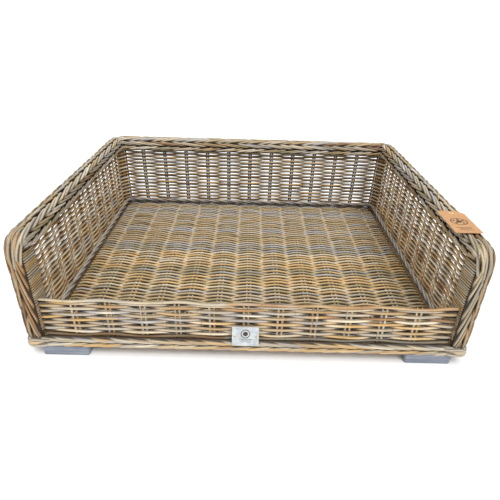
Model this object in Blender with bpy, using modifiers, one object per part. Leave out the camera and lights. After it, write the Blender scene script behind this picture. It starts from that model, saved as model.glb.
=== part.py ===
"""An open-fronted wicker pet bed: a woven rattan tray with three full walls and a low front wall.

Metres, +Z up, +X to the bed's right, -Y to its open front. The origin is on the ground,
under the middle of the bed. Every wall leans outwards a little to the sides, as lean() says.
"""

import math

import bmesh
import bpy
from mathutils import Matrix, Vector

# Overall size
WIDTH = 1.000
DEPTH = 0.830
RIM_TOP = 0.300
LEAN = 0.017          # the part of its half width by which the bed widens, from the frame to the rim
GAP = 0.0003          # between pieces that touch

# Plaited rim and the bent pole inside it
RIM_WIDTH = 0.040
RIM_HEIGHT = 0.044
POLE_RADIUS = 0.008
SLOT_CLEARANCE = 0.0005
BEND = 0.026          # radius of the pole's centre line at each rounded corner
BEND_STEPS = 6
STUB = 0.004          # straight length at each end of a bend, so that its ends are square

# Woven sheets
WALL = 0.020          # stakes with strands on both sides
FRONT_WALL_TOP = 0.146
FRONT_WALL_Y = -0.3915
FLOOR_TOP = 0.060
WALE_WIDTH = 0.012
WALE_HEIGHT = 0.018

# Wooden base frame
FOOT_HEIGHT = 0.025
RAIL_WIDTH = 0.030
RAIL_TOP = 0.0395
SLAT_SPACING = 0.190
FRAME_SIDE = 0.4818
FRAME_FRONT = -0.4032
FRAME_BACK = 0.4050

# Base braid that hides the frame
BASE_SIDE = 0.4935
BASE_FRONT = -0.4115
BASE_BACK = 0.4135
BASE_TOP = 0.0470

# Feet and their screws
FOOT_LENGTH = 0.105
FOOT_DEPTH = 0.060
FOOT_CENTRE_X = 0.4145
FOOT_FRONT = -0.4100
FOOT_CHAMFER = 0.003
SCREW_SPACING = 0.050
SCREW_RADIUS = 0.002
SCREW_HEAD_RADIUS = 0.004
SCREW_HEAD_LOW = 0.004
SCREW_HEAD_HEIGHT = 0.003
SCREW_TIP = 0.036

# Name plate on the front wall
PLATE_SIZE = (0.060, 0.0015, 0.046)
PLATE_CENTRE = (-0.0055, -0.4095, 0.0665)
PLATE_TILT = -11.5    # degrees; its lower edge stands out over the base braid
RIVET_SPACING = 0.048
RIVET_RADIUS = 0.0008
RIVET_HEAD_RADIUS = 0.0022
RIVET_LENGTH = 0.0135

# Hang tag, its knot and its twine
TAG_WIDTH = 0.060
TAG_LENGTH = 0.118
TAG_THICKNESS = 0.0008
TAG_CLIP = (0.004, 0.014)       # cut off the inner and the outer back corner
TAG_HINGE = (0.4675, -0.2220, 0.3025)
TAG_HOLE_RADIUS = 0.0022
TAG_HOLE_INSET = 0.012
TWINE_RADIUS = 0.0007
KNOT_RADIUS = 0.0020
TWINE_ROUTE = (
    (0.4986, -0.0780, 0.3012),
    (0.4955, -0.0815, 0.3012),
    (0.4900, -0.0880, 0.3012),
    (0.4840, -0.1040, 0.3012),
    (0.4760, -0.1290, 0.3012),
    (0.4650, -0.1540, 0.3012),
    (0.4560, -0.1800, 0.3012),
    (0.4520, -0.2020, 0.3012),
    (0.4540, -0.2190, 0.3012),
    (0.4605, -0.2300, 0.3012),
    (0.4675, -0.2340, 0.3016),
)

# Places worked out from the sizes above
SIDE_WALL_X = WIDTH / 2 / (1 + LEAN) - RIM_WIDTH / 2
BACK_WALL_Y = DEPTH / 2 - RIM_WIDTH / 2
POLE_Y = -BACK_WALL_Y
POLE_Z = RIM_TOP - RIM_WIDTH / 2
RAIL_LOW = FOOT_HEIGHT + GAP
WALL_LOW = RAIL_TOP + GAP
WALL_HIGH = POLE_Z - POLE_RADIUS - GAP
BEND_X = SIDE_WALL_X - BEND     # centre of each back corner, across
BEND_BACK_Y = BACK_WALL_Y - BEND
BEND_FRONT_Y = POLE_Y + BEND    # centre of each front corner, seen from the side
BEND_Z = POLE_Z - BEND
BACK_JOINT_Y = BEND_BACK_Y - STUB       # where the back braid and pole meet the side ones
FRONT_JOINT_Y = BEND_FRONT_Y + STUB     # where an edge braid meets its rim braid


def clear_scene():
    for old in list(bpy.data.objects):
        bpy.data.objects.remove(old)


def new_collection(name, hidden=False):
    made = bpy.data.collections.new(name)
    made.hide_render = hidden
    bpy.context.scene.collection.children.link(made)
    return made


def new_material(name, colour, roughness, metallic=0.0):
    made = bpy.data.materials.new(name)
    made.use_nodes = True
    shader = made.node_tree.nodes["Principled BSDF"]
    shader.inputs["Base Color"].default_value = (*colour, 1.0)
    shader.inputs["Roughness"].default_value = roughness
    shader.inputs["Metallic"].default_value = metallic
    return made


clear_scene()
PARTS = new_collection("wicker_pet_bed")
CUTTERS = new_collection("cutters", hidden=True)
BASKET = bpy.data.objects.new("basket", None)
TAG_PIVOT = bpy.data.objects.new("tag_pivot", None)
TAG_PIVOT.location = TAG_HINGE
for empty in (BASKET, TAG_PIVOT):
    PARTS.objects.link(empty)

MATERIALS = {
    "rattan": ((0.50, 0.38, 0.23), 0.55),
    "rattan_grey": ((0.46, 0.42, 0.36), 0.60),
    "rattan_pole": ((0.52, 0.37, 0.20), 0.50),
    "frame_wood": ((0.58, 0.44, 0.27), 0.70),
    "painted_wood": ((0.24, 0.27, 0.34), 0.60),
    "steel": ((0.60, 0.60, 0.60), 0.35, 1.0),
    "name_plate": ((0.74, 0.76, 0.78), 0.45),
    "brass": ((0.65, 0.46, 0.18), 0.30, 1.0),
    "kraft_card": ((0.72, 0.42, 0.18), 0.80),
    "twine": ((0.66, 0.44, 0.22), 0.85),
}
MATERIALS = {name: new_material(name, *look) for name, look in MATERIALS.items()}


def finish(obj, material, parent=BASKET):
    """Puts a made object in the bed's collection, with its material and its parent."""
    for user in list(obj.users_collection):
        user.objects.unlink(obj)
    PARTS.objects.link(obj)
    obj.data.materials.clear()
    obj.data.materials.append(MATERIALS[material])
    obj.parent = parent
    return obj


def lean(obj):
    """Spreads an object sideways in proportion to its height over the base frame."""
    place = obj.matrix_basis
    back = place.inverted()
    for vertex in obj.data.vertices:
        point = place @ vertex.co
        height = max(point.z - WALL_LOW, 0.0) / (RIM_TOP - WALL_LOW)
        point.x *= 1 + LEAN * height
        vertex.co = back @ point
    return obj


def box(name, low, high):
    """A box between two corners, placed by its middle."""
    mesh = bpy.data.meshes.new(name)
    shape = bmesh.new()
    bmesh.ops.create_cube(shape, size=1.0)
    bmesh.ops.scale(shape, vec=Vector(high) - Vector(low), verts=shape.verts)
    shape.to_mesh(mesh)
    shape.free()
    obj = bpy.data.objects.new(name, mesh)
    obj.location = (Vector(low) + Vector(high)) / 2
    return obj


def cylinder(name, radius, low, high, segments=16):
    """A cylinder along Z from low to high."""
    low = Vector(low)
    high = Vector(high)
    mesh = bpy.data.meshes.new(name)
    shape = bmesh.new()
    length = (high - low).length
    bmesh.ops.create_cone(
        shape, cap_ends=True, segments=segments, radius1=radius, radius2=radius, depth=length
    )
    shape.to_mesh(mesh)
    shape.free()
    obj = bpy.data.objects.new(name, mesh)
    obj.location = (low + high) / 2
    return obj


def poly_curve(name, points, closed, dimensions):
    curve = bpy.data.curves.new(name, "CURVE")
    curve.dimensions = dimensions
    spline = curve.splines.new("POLY")
    spline.points.add(len(points) - 1)
    for place, point in zip(spline.points, points):
        place.co = (*point, 1.0)
    spline.use_cyclic_u = closed
    obj = bpy.data.objects.new(name, curve)
    CUTTERS.objects.link(obj)
    return obj


def as_mesh(curve_object):
    """The curve as a closed mesh object in the same place."""
    bpy.context.view_layer.update()
    graph = bpy.context.evaluated_depsgraph_get()
    mesh = bpy.data.meshes.new_from_object(curve_object.evaluated_get(graph))
    name = curve_object.name
    place = curve_object.matrix_world.copy()
    bpy.data.objects.remove(curve_object)
    shape = bmesh.new()
    shape.from_mesh(mesh)
    bmesh.ops.remove_doubles(shape, verts=shape.verts, dist=1e-6)
    bmesh.ops.recalc_face_normals(shape, faces=shape.faces)
    shape.to_mesh(mesh)
    shape.free()
    obj = bpy.data.objects.new(name, mesh)
    obj.matrix_world = place
    return obj


TURN_TO_PLANE = {
    "XY": Matrix.Identity(4),
    "YZ": Matrix(((0, 0, 1, 0), (1, 0, 0, 0), (0, 1, 0, 0), (0, 0, 0, 1))),
}


def sheet(name, outline, plane, low, high):
    """A flat outline in a plane, thickened from low to high along the third axis."""
    obj = poly_curve(name, [(*point, 0.0) for point in outline], True, "2D")
    obj.data.fill_mode = "BOTH"
    obj.data.extrude = (high - low) / 2
    middle = (low + high) / 2
    offset = (0, 0, middle) if plane == "XY" else (middle, 0, 0)
    obj.matrix_world = Matrix.Translation(offset) @ TURN_TO_PLANE[plane]
    return as_mesh(obj)


def rod(name, path, radius):
    obj = poly_curve(name, path, False, "3D")
    obj.data.bevel_depth = radius
    obj.data.bevel_resolution = 2
    obj.data.use_fill_caps = True
    made = as_mesh(obj)
    made.data.shade_smooth()
    made.data.set_sharp_from_angle(angle=math.radians(50))
    return made


def rim_section():
    """The braid's section astride the pole: a channel that opens downwards, with the pole at its origin."""
    side = RIM_WIDTH / 2
    slot = WALL / 2 + GAP
    low = side - RIM_HEIGHT
    roof = POLE_RADIUS + SLOT_CLEARANCE
    outline = (
        (-side, side), (side, side), (side, low), (slot, low),
        (slot, roof), (-slot, roof), (-slot, low), (-side, low),
    )
    section = poly_curve("rim_section", [(*point, 0.0) for point in outline], True, "2D")
    section.hide_render = True
    section.display_type = "WIRE"
    return section


def braid_along(name, path, section):
    obj = poly_curve(name, path, False, "3D")
    obj.data.bevel_mode = "OBJECT"
    obj.data.bevel_object = section
    obj.data.use_fill_caps = True
    return as_mesh(obj)


def turned(name, profile, steps=16):
    """A solid of revolution round Z. The profile runs down its outer side, axis to axis."""
    mesh = bpy.data.meshes.new(name)
    shape = bmesh.new()
    points = [shape.verts.new((radius, 0, height)) for radius, height in profile]
    for first, second in zip(points, points[1:]):
        shape.edges.new((first, second))
    shape.to_mesh(mesh)
    shape.free()
    obj = bpy.data.objects.new(name, mesh)
    screw = obj.modifiers.new("turn", "SCREW")
    screw.steps = steps
    screw.render_steps = steps
    screw.use_merge_vertices = True
    screw.merge_threshold = 0.00001
    return obj


def cut(obj, cutter):
    """Takes the cutter out of the object with a Boolean."""
    CUTTERS.objects.link(cutter)
    cutter.hide_render = True
    cutter.display_type = "WIRE"
    boolean = obj.modifiers.new(cutter.name, "BOOLEAN")
    boolean.object = cutter
    boolean.operation = "DIFFERENCE"
    return cutter


def quarter(centre, radius, start):
    """Points of a quarter circle, counter-clockwise from the start angle in degrees."""
    angles = [math.radians(start + 90 * step / BEND_STEPS) for step in range(BEND_STEPS + 1)]
    return [(centre[0] + radius * math.cos(a), centre[1] + radius * math.sin(a)) for a in angles]


def side_name(side):
    return "right" if side > 0 else "left"


def front_bend_path(side, low, end):
    """Up the front edge, round the front corner and back along the rim to the given end."""
    x = side * SIDE_WALL_X
    arc = quarter((-BEND_FRONT_Y, BEND_Z), BEND, 0)
    bend = [(x, -y, z) for y, z in arc]
    return [(x, POLE_Y, low), *bend, (x, end, POLE_Z)]


def back_bend_path():
    """Round the right back corner, along the back and round the left back corner."""
    right = quarter((BEND_X, BEND_BACK_Y), BEND, 0)
    left = quarter((-BEND_X, BEND_BACK_Y), BEND, 90)
    start = (SIDE_WALL_X, BACK_JOINT_Y)
    end = (-SIDE_WALL_X, BACK_JOINT_Y)
    return [(x, y, POLE_Z) for x, y in (start, *right, *left, end)]


def make_base_frame():
    rails = {
        "base_rail_front": ((-FRAME_SIDE, FRAME_FRONT), (FRAME_SIDE, FRAME_FRONT + RAIL_WIDTH)),
        "base_rail_back": ((-FRAME_SIDE, FRAME_BACK - RAIL_WIDTH), (FRAME_SIDE, FRAME_BACK)),
    }
    inner = FRAME_SIDE - RAIL_WIDTH
    front = FRAME_FRONT + RAIL_WIDTH + GAP
    back = FRAME_BACK - RAIL_WIDTH - GAP
    rails["base_rail_left"] = ((-FRAME_SIDE, front), (-inner, back))
    rails["base_rail_right"] = ((inner, front), (FRAME_SIDE, back))
    for number, y in enumerate((-SLAT_SPACING, 0.0, SLAT_SPACING), start=1):
        low = (-inner + GAP, y - RAIL_WIDTH / 2)
        high = (inner - GAP, y + RAIL_WIDTH / 2)
        rails[f"base_slat_{number}"] = (low, high)
    made = {}
    for name, (low, high) in rails.items():
        made[name] = finish(box(name, (*low, RAIL_LOW), (*high, RAIL_TOP)), "frame_wood")
    return made


def make_feet(rails):
    """Four painted blocks under the frame's corners, each with two screws up into a rail."""
    profile = (
        (0.0, SCREW_TIP),
        (SCREW_RADIUS, SCREW_TIP - SCREW_RADIUS),
        (SCREW_RADIUS, SCREW_HEAD_LOW + SCREW_HEAD_HEIGHT),
        (SCREW_HEAD_RADIUS, SCREW_HEAD_LOW),
        (0.0, SCREW_HEAD_LOW),
    )
    for end, end_side in (("front", 1), ("back", -1)):
        rail = rails["base_rail_" + end]
        rail_y = rail.location.y
        for side in (-1, 1):
            place = f"{end}_{side_name(side)}"
            near = end_side * FOOT_FRONT
            far = near + end_side * FOOT_DEPTH
            x = side * FOOT_CENTRE_X
            low = (x - FOOT_LENGTH / 2, min(near, far), 0.0)
            high = (x + FOOT_LENGTH / 2, max(near, far), FOOT_HEIGHT)
            foot = finish(box("foot_" + place, low, high), "painted_wood")
            chamfer = foot.modifiers.new("chamfer", "BEVEL")
            chamfer.width = FOOT_CHAMFER
            chamfer.segments = 1
            for number, offset in enumerate((-SCREW_SPACING / 2, SCREW_SPACING / 2), start=1):
                screw_x = x + offset
                screw = turned(f"screw_{place}_{number}", profile)
                screw.location = (screw_x, rail_y, 0.0)
                finish(screw, "steel")
                shank = (screw_x, rail_y, -GAP), (screw_x, rail_y, SCREW_TIP + GAP)
                head = (screw_x, rail_y, -GAP), (screw_x, rail_y, SCREW_HEAD_LOW + SCREW_HEAD_HEIGHT + GAP)
                hole = cylinder(f"hole_{place}_{number}", SCREW_RADIUS + GAP, *shank)
                cut(foot, hole)
                cut(foot, cylinder(f"recess_{place}_{number}", SCREW_HEAD_RADIUS + GAP, *head))
                cut_rail = rail.modifiers.new(hole.name, "BOOLEAN")
                cut_rail.object = hole
                cut_rail.operation = "DIFFERENCE"


def make_poles():
    """Bent rattan poles: one up each front edge and its side, one round the back, and the back posts."""
    for side in (-1, 1):
        path = front_bend_path(side, WALL_LOW, BACK_JOINT_Y - GAP)
        finish(lean(rod("side_pole_" + side_name(side), path, POLE_RADIUS)), "rattan_pole")
        x, y = back_post_place(side)
        path = [(x, y, WALL_LOW), (x, y, WALL_HIGH)]
        finish(lean(rod("back_post_" + side_name(side), path, POLE_RADIUS)), "rattan_pole")
    finish(lean(rod("back_pole", back_bend_path(), POLE_RADIUS)), "rattan_pole")


def back_post_place(side):
    """Where a back post stands, halfway round its corner."""
    reach = BEND * math.sqrt(0.5)
    return side * (BEND_X + reach), BEND_BACK_Y + reach


def make_woven_walls():
    """The side and back walls as slabs, and the two back corners where the weave turns."""
    turn = BEND - POLE_RADIUS - GAP
    rounded = [(-y, z) for y, z in quarter((-BEND_FRONT_Y, BEND_Z), turn, 0)]
    back_edge = BEND_BACK_Y - GAP
    outline = [(rounded[0][0], WALL_LOW), *rounded, (back_edge, WALL_HIGH), (back_edge, WALL_LOW)]
    for side in (-1, 1):
        middle = side * SIDE_WALL_X
        wall = sheet("woven_wall_" + side_name(side), outline, "YZ", middle - WALL / 2, middle + WALL / 2)
        finish(lean(wall), "rattan")
        make_woven_corner(side)
    low = (-BEND_X + GAP, BACK_WALL_Y - WALL / 2, WALL_LOW)
    high = (BEND_X - GAP, BACK_WALL_Y + WALL / 2, WALL_HIGH)
    finish(lean(box("woven_wall_back", low, high)), "rattan")


def make_woven_corner(side):
    """A quarter ring of weave with its post in the middle."""
    centre = (side * BEND_X, BEND_BACK_Y)
    start = 0 if side > 0 else 90
    outer = quarter(centre, BEND + WALL / 2, start)
    inner = quarter(centre, BEND - WALL / 2, start)
    corner = sheet("woven_corner_" + side_name(side), outer + inner[::-1], "XY", WALL_LOW, WALL_HIGH)
    x, y = back_post_place(side)
    low = (x, y, WALL_LOW - GAP)
    high = (x, y, WALL_HIGH + GAP)
    cut(corner, lean(cylinder("post_hole_" + side_name(side), POLE_RADIUS + GAP, low, high)))
    finish(lean(corner), "rattan")


def make_front_wall():
    side = SIDE_WALL_X - RIM_WIDTH / 2 - GAP
    low = (-side, FRONT_WALL_Y - WALL / 2, WALL_LOW)
    high = (side, FRONT_WALL_Y + WALL / 2, FRONT_WALL_TOP)
    return finish(lean(box("woven_wall_front", low, high)), "rattan")


def make_floor():
    """The woven floor, notched round the edge braids, and the twisted strands that edge it inside."""
    side = SIDE_WALL_X - WALL / 2 - GAP
    front = FRONT_WALL_Y + WALL / 2 + GAP
    back = BACK_WALL_Y - WALL / 2 - GAP
    turn = side - BEND_X
    right = quarter((BEND_X, BEND_BACK_Y), turn, 0)
    left = quarter((-BEND_X, BEND_BACK_Y), turn, 90)
    notch = SIDE_WALL_X - RIM_WIDTH / 2 - GAP
    notch_back = POLE_Y + RIM_HEIGHT - RIM_WIDTH / 2 + GAP
    outline = [
        (-side, notch_back), (-notch, notch_back), (-notch, front),
        (notch, front), (notch, notch_back), (side, notch_back), *right, *left,
    ]
    finish(lean(sheet("woven_floor", outline, "XY", WALL_LOW, FLOOR_TOP)), "rattan")
    bottom = FLOOR_TOP + GAP
    top = bottom + WALE_HEIGHT
    inner = side - WALE_WIDTH
    inner_back = back - WALE_WIDTH
    hook = [(-inner, BEND_BACK_Y), (-inner, inner_back), (inner, inner_back), (inner, BEND_BACK_Y)]
    finish(lean(sheet("inner_wale_back", [*right, *left, *hook], "XY", bottom, top)), "rattan_grey")
    side_front = front + WALE_WIDTH + GAP
    side_back = BEND_BACK_Y - GAP
    for name, low, high in (
        ("inner_wale_front", (-notch, front), (notch, front + WALE_WIDTH)),
        ("inner_wale_left", (-side, side_front), (-inner, side_back)),
        ("inner_wale_right", (inner, side_front), (side, side_back)),
    ):
        finish(lean(box(name, (*low, bottom), (*high, top))), "rattan_grey")


def make_braids():
    section = rim_section()
    for side in (-1, 1):
        name = side_name(side)
        x = side * SIDE_WALL_X
        path = front_bend_path(side, BASE_TOP + 2 * GAP, FRONT_JOINT_Y)
        finish(lean(braid_along("edge_braid_" + name, path, section)), "rattan")
        path = [(x, FRONT_JOINT_Y + GAP, POLE_Z), (x, BACK_JOINT_Y - GAP, POLE_Z)]
        finish(lean(braid_along("rim_braid_" + name, path, section)), "rattan")
    finish(lean(braid_along("rim_braid_back", back_bend_path(), section)), "rattan")


def make_base_braids():
    front = FRAME_FRONT - GAP
    back = FRAME_BACK + GAP
    side = FRAME_SIDE + GAP
    for name, low, high in (
        ("base_braid_front", (-BASE_SIDE, BASE_FRONT), (BASE_SIDE, front)),
        ("base_braid_back", (-BASE_SIDE, back), (BASE_SIDE, BASE_BACK)),
        ("base_braid_left", (-BASE_SIDE, front + GAP), (-side, back - GAP)),
        ("base_braid_right", (side, front + GAP), (BASE_SIDE, back - GAP)),
    ):
        finish(box(name, (*low, RAIL_LOW), (*high, BASE_TOP)), "rattan_grey")


def make_name_plate(front_wall):
    """A plate on the front wall, held by two rivets that reach through it into the weave."""
    tilt = Matrix.Rotation(math.radians(PLATE_TILT), 4, "X")
    place = Matrix.Translation(PLATE_CENTRE) @ tilt
    half = Vector(PLATE_SIZE) / 2
    plate = box("name_plate", -half, half)
    plate.matrix_world = place
    finish(plate, "name_plate")
    face = PLATE_SIZE[1] / 2
    profile = (
        (0.0, face + 0.0012),
        (RIVET_HEAD_RADIUS * 0.6, face + 0.0010),
        (RIVET_HEAD_RADIUS, face + GAP),
        (RIVET_RADIUS, face + GAP),
        (RIVET_RADIUS, face - RIVET_LENGTH),
        (0.0, face - RIVET_LENGTH),
    )
    outward = Matrix.Rotation(math.radians(90), 4, "X")
    for side in (-1, 1):
        spot = place @ Matrix.Translation((side * RIVET_SPACING / 2, 0, 0)) @ outward
        rivet = turned("rivet_" + side_name(side), profile)
        rivet.matrix_world = spot
        finish(rivet, "brass")
        hole = cylinder(
            "rivet_hole_" + side_name(side), RIVET_RADIUS + GAP,
            (0, 0, -RIVET_LENGTH), (0, 0, RIVET_LENGTH),
        )
        hole.matrix_world = spot
        cut(plate, hole)
        cut_wall = front_wall.modifiers.new(hole.name, "BOOLEAN")
        cut_wall.object = hole
        cut_wall.operation = "DIFFERENCE"


def make_hang_tag():
    """A card tag on the right rim. It turns up about its back edge; its knot is in its hole."""
    half = TAG_WIDTH / 2
    inner_clip, outer_clip = TAG_CLIP
    outline = (
        (-half, -TAG_LENGTH), (half, -TAG_LENGTH), (half, -outer_clip),
        (half - outer_clip, 0.0), (-half + inner_clip, 0.0), (-half, -inner_clip),
    )
    tag = sheet("hang_tag", outline, "XY", 0.0, TAG_THICKNESS)
    finish(tag, "kraft_card", TAG_PIVOT)
    hole_y = -TAG_HOLE_INSET
    hole = cylinder("tag_hole", TAG_HOLE_RADIUS, (0, hole_y, -KNOT_RADIUS), (0, hole_y, KNOT_RADIUS))
    cut(tag, hole).parent = TAG_PIVOT
    profile = (
        (0.0, TAG_THICKNESS + 2 * KNOT_RADIUS),
        (KNOT_RADIUS, TAG_THICKNESS + 1.6 * KNOT_RADIUS),
        (KNOT_RADIUS * 1.3, TAG_THICKNESS + KNOT_RADIUS),
        (KNOT_RADIUS * 1.2, TAG_THICKNESS + GAP),
        (TWINE_RADIUS, TAG_THICKNESS + GAP),
        (TWINE_RADIUS, 0.0),
        (0.0, 0.0),
    )
    knot = turned("tag_knot", profile)
    knot.location = (0, hole_y, 0)
    finish(knot, "twine", TAG_PIVOT)


def smooth_route(route, steps):
    """Points along a Catmull-Rom curve through the route's own points."""
    ends = (route[0], *route, route[-1])
    points = []
    for a, b, c, d in zip(ends, ends[1:], ends[2:], ends[3:]):
        a, b, c, d = (Vector(point) for point in (a, b, c, d))
        for step in range(steps):
            t = step / steps
            points.append(
                0.5 * (2 * b + (c - a) * t + (2 * a - 5 * b + 4 * c - d) * t**2
                       + (3 * b - a - 3 * c + d) * t**3)
            )
    return [*points, Vector(route[-1])]


def make_twine():
    path = smooth_route(TWINE_ROUTE, 5)
    finish(rod("tag_twine", path, TWINE_RADIUS), "twine")


def main():
    rails = make_base_frame()
    make_feet(rails)
    make_poles()
    make_woven_walls()
    front_wall = make_front_wall()
    make_floor()
    make_braids()
    make_base_braids()
    make_name_plate(front_wall)
    make_hang_tag()
    make_twine()


main()
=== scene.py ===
"""The looks of an open-fronted wicker pet bed, strand by strand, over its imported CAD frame."""

import math

import bmesh
import bpy
import numpy as np
from mathutils import Matrix, Vector


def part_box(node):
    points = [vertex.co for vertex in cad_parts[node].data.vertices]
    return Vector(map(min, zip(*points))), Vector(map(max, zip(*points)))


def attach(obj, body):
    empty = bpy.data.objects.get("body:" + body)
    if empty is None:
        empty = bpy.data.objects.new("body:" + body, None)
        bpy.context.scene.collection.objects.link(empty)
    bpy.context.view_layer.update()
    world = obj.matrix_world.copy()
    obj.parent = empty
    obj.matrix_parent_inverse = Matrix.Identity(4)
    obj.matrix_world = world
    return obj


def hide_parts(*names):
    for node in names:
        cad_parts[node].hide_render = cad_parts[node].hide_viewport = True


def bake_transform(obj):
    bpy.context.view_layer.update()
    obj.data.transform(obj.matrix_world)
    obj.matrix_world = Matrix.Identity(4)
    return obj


SEED = 11
SIDES = 8                       # of the cross-section of a strand

# Camera
CAMERA_PLACE = (-0.0053, -1.2185, 0.7170)
CAMERA_PITCH = 28.07
CAMERA_YAW = 0.33
CAMERA_ROLL = 1.61
CAMERA_LENS = 32.84

# The twine's route, as the part has it
TWINE_ROUTE = (
    (0.4986, -0.0780, 0.3012),
    (0.4955, -0.0815, 0.3012),
    (0.4900, -0.0880, 0.3012),
    (0.4840, -0.1040, 0.3012),
    (0.4760, -0.1290, 0.3012),
    (0.4650, -0.1540, 0.3012),
    (0.4560, -0.1800, 0.3012),
    (0.4520, -0.2020, 0.3012),
    (0.4540, -0.2190, 0.3012),
    (0.4605, -0.2300, 0.3012),
    (0.4675, -0.2340, 0.3016),
)
TWINE_RADIUS = 0.0007
TWINE_TURN = 0.0034             # length of one full twist of the twine's plies

# Weave
STAKE_RADIUS = 0.0030
STAKE_HALF_GAP = 0.0034         # each stake of a pair stands this far from the pair's middle
FRONT_HALF_GAP = 0.0050         # the same in the front wall and the floor
STAKE_FOOT = 0.042
STAKE_TOP = 0.272
SIDE_STAKE_START = 0.044
SIDE_STAKE_PITCH = 0.0752
BACK_STAKE_PITCH = 0.0760
FLOOR_STAKE_PITCH = 0.0750
STAKE_SHIFT = -0.0050           # the back and front stakes stand a little to the left of the middle
CROSS_STAKES = [STAKE_SHIFT + i * BACK_STAKE_PITCH for i in range(-5, 6)]
WALL_FOOT = 0.0442
WALL_TOP = 0.2625
WALL_ROW = 0.00635
WALL_CANE = 0.00325
WALL_SWAY = 0.0057              # how far a weaver swings to each side of the middle of its sheet
FLOOR_ROW = 0.00735
FLOOR_CANE = 0.0031
FLOOR_SWAY = 0.0062
FRONT_ROW = 0.0075
FRONT_CANE = 0.0034
FRONT_SWAY = 0.0028
STRIP_FOOT = 0.060
STRIP_HEIGHT = 0.200
STRIP_PITCH = 0.0056
PLAIT_PITCH = 0.0760

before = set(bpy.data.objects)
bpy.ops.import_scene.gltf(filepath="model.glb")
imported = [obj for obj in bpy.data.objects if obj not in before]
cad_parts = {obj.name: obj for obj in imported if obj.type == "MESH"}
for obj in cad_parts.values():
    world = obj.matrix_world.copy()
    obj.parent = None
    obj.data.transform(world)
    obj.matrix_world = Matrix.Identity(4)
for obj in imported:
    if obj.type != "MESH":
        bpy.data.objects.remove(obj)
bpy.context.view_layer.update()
rng = np.random.default_rng(SEED)


# ---- sizes from the frame

POLE_RADIUS = 0.008
pole_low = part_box("side_pole_right")[0]
back_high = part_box("back_pole")[1]
floor_low, floor_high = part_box("woven_floor")
front_low, front_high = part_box("woven_wall_front")
wall_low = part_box("woven_wall_right")[0]
base_low, base_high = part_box("base_braid_front")

LEAN_LOW = wall_low[2]
LEAN_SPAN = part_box("rim_braid_back")[1][2] - LEAN_LOW
LEAN = 0.017                            # how much wider the bed is at the top of the rim, as a share
POLE_Z = back_high[2] - POLE_RADIUS
POLE_FRONT_Y = pole_low[1] + POLE_RADIUS
BACK_Y = back_high[1] - POLE_RADIUS
BEND = 0.026                            # radius of the poles' bends
ARC = BEND * math.pi / 2
SIDE_X = wall_low[0] + 0.010            # middle of a side wall at its foot
FRONT_Y = (front_low[1] + front_high[1]) / 2
FRONT_REACH = SIDE_X - 0.0115           # half the length of the front weavers
FLOOR_Z = (floor_low[2] + floor_high[2]) / 2
CORNER_X = SIDE_X - BEND
CORNER_Y = BACK_Y - BEND
WALL_START_Y = POLE_FRONT_Y + 0.012
SIDE_RUN = CORNER_Y - WALL_START_Y
BACK_RUN = 2 * CORNER_X
WALL_ROWS = int((WALL_TOP - WALL_FOOT) / WALL_ROW)
EDGE_FOOT = 0.036
EDGE_RUN = POLE_Z - BEND - EDGE_FOOT    # length of a front edge, from its foot to the bend into the rim


def lean(points):
    """Widens the bed with height, as the part does."""
    points = np.array(points, float)
    share = np.clip(points[..., 2] - LEAN_LOW, 0, None) / LEAN_SPAN
    points[..., 0] *= 1 + LEAN * share
    return points


def smooth(x):
    x = np.clip(x, 0, 1)
    return x * x * (3 - 2 * x)


CREASE = 0.52                   # how dark a strand's flanks are painted, as shade where it touches its neighbours
DEEP_CREASE = 0.82              # the same for the edges, the base braid and the inner wale
FLANK = 0.45                    # sine of the angle from a strand's top where its flank starts
SWAY_FROM = 0.35                # how far out of its sheet a strand is where painted shade starts on one side of it
SWAY_SPAN = 0.50
UNDERSIDE = 0.45                # cosine of the angle from its underside where painted shade there starts
END_SIZE = 0.6                  # a strand's ends are this much thinner than its middle


# ---- strands

def unit(v):
    return v / np.maximum(np.linalg.norm(v, axis=-1, keepdims=True), 1e-12)


def along(points):
    """How far each point of a line is from its start."""
    return np.concatenate([[0], np.cumsum(np.linalg.norm(np.diff(points, axis=0), axis=1))])


def tube_faces(rings, sides):
    """The quads round a tube made of rings of points, and the triangles that close its two ends."""
    row = np.arange(rings - 1)[:, None] * sides
    near = row + np.arange(sides)
    beside = row + (np.arange(sides) + 1) % sides
    quads = np.stack([near, beside, beside + sides, near + sides], -1).reshape(-1, 4)
    fan = np.arange(1, sides - 1)
    first = np.stack([np.zeros_like(fan), fan + 1, fan], 1)
    last = np.stack([np.zeros_like(fan), fan, fan + 1], 1) + (rings - 1) * sides
    return quads, np.concatenate([first, last])


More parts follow.
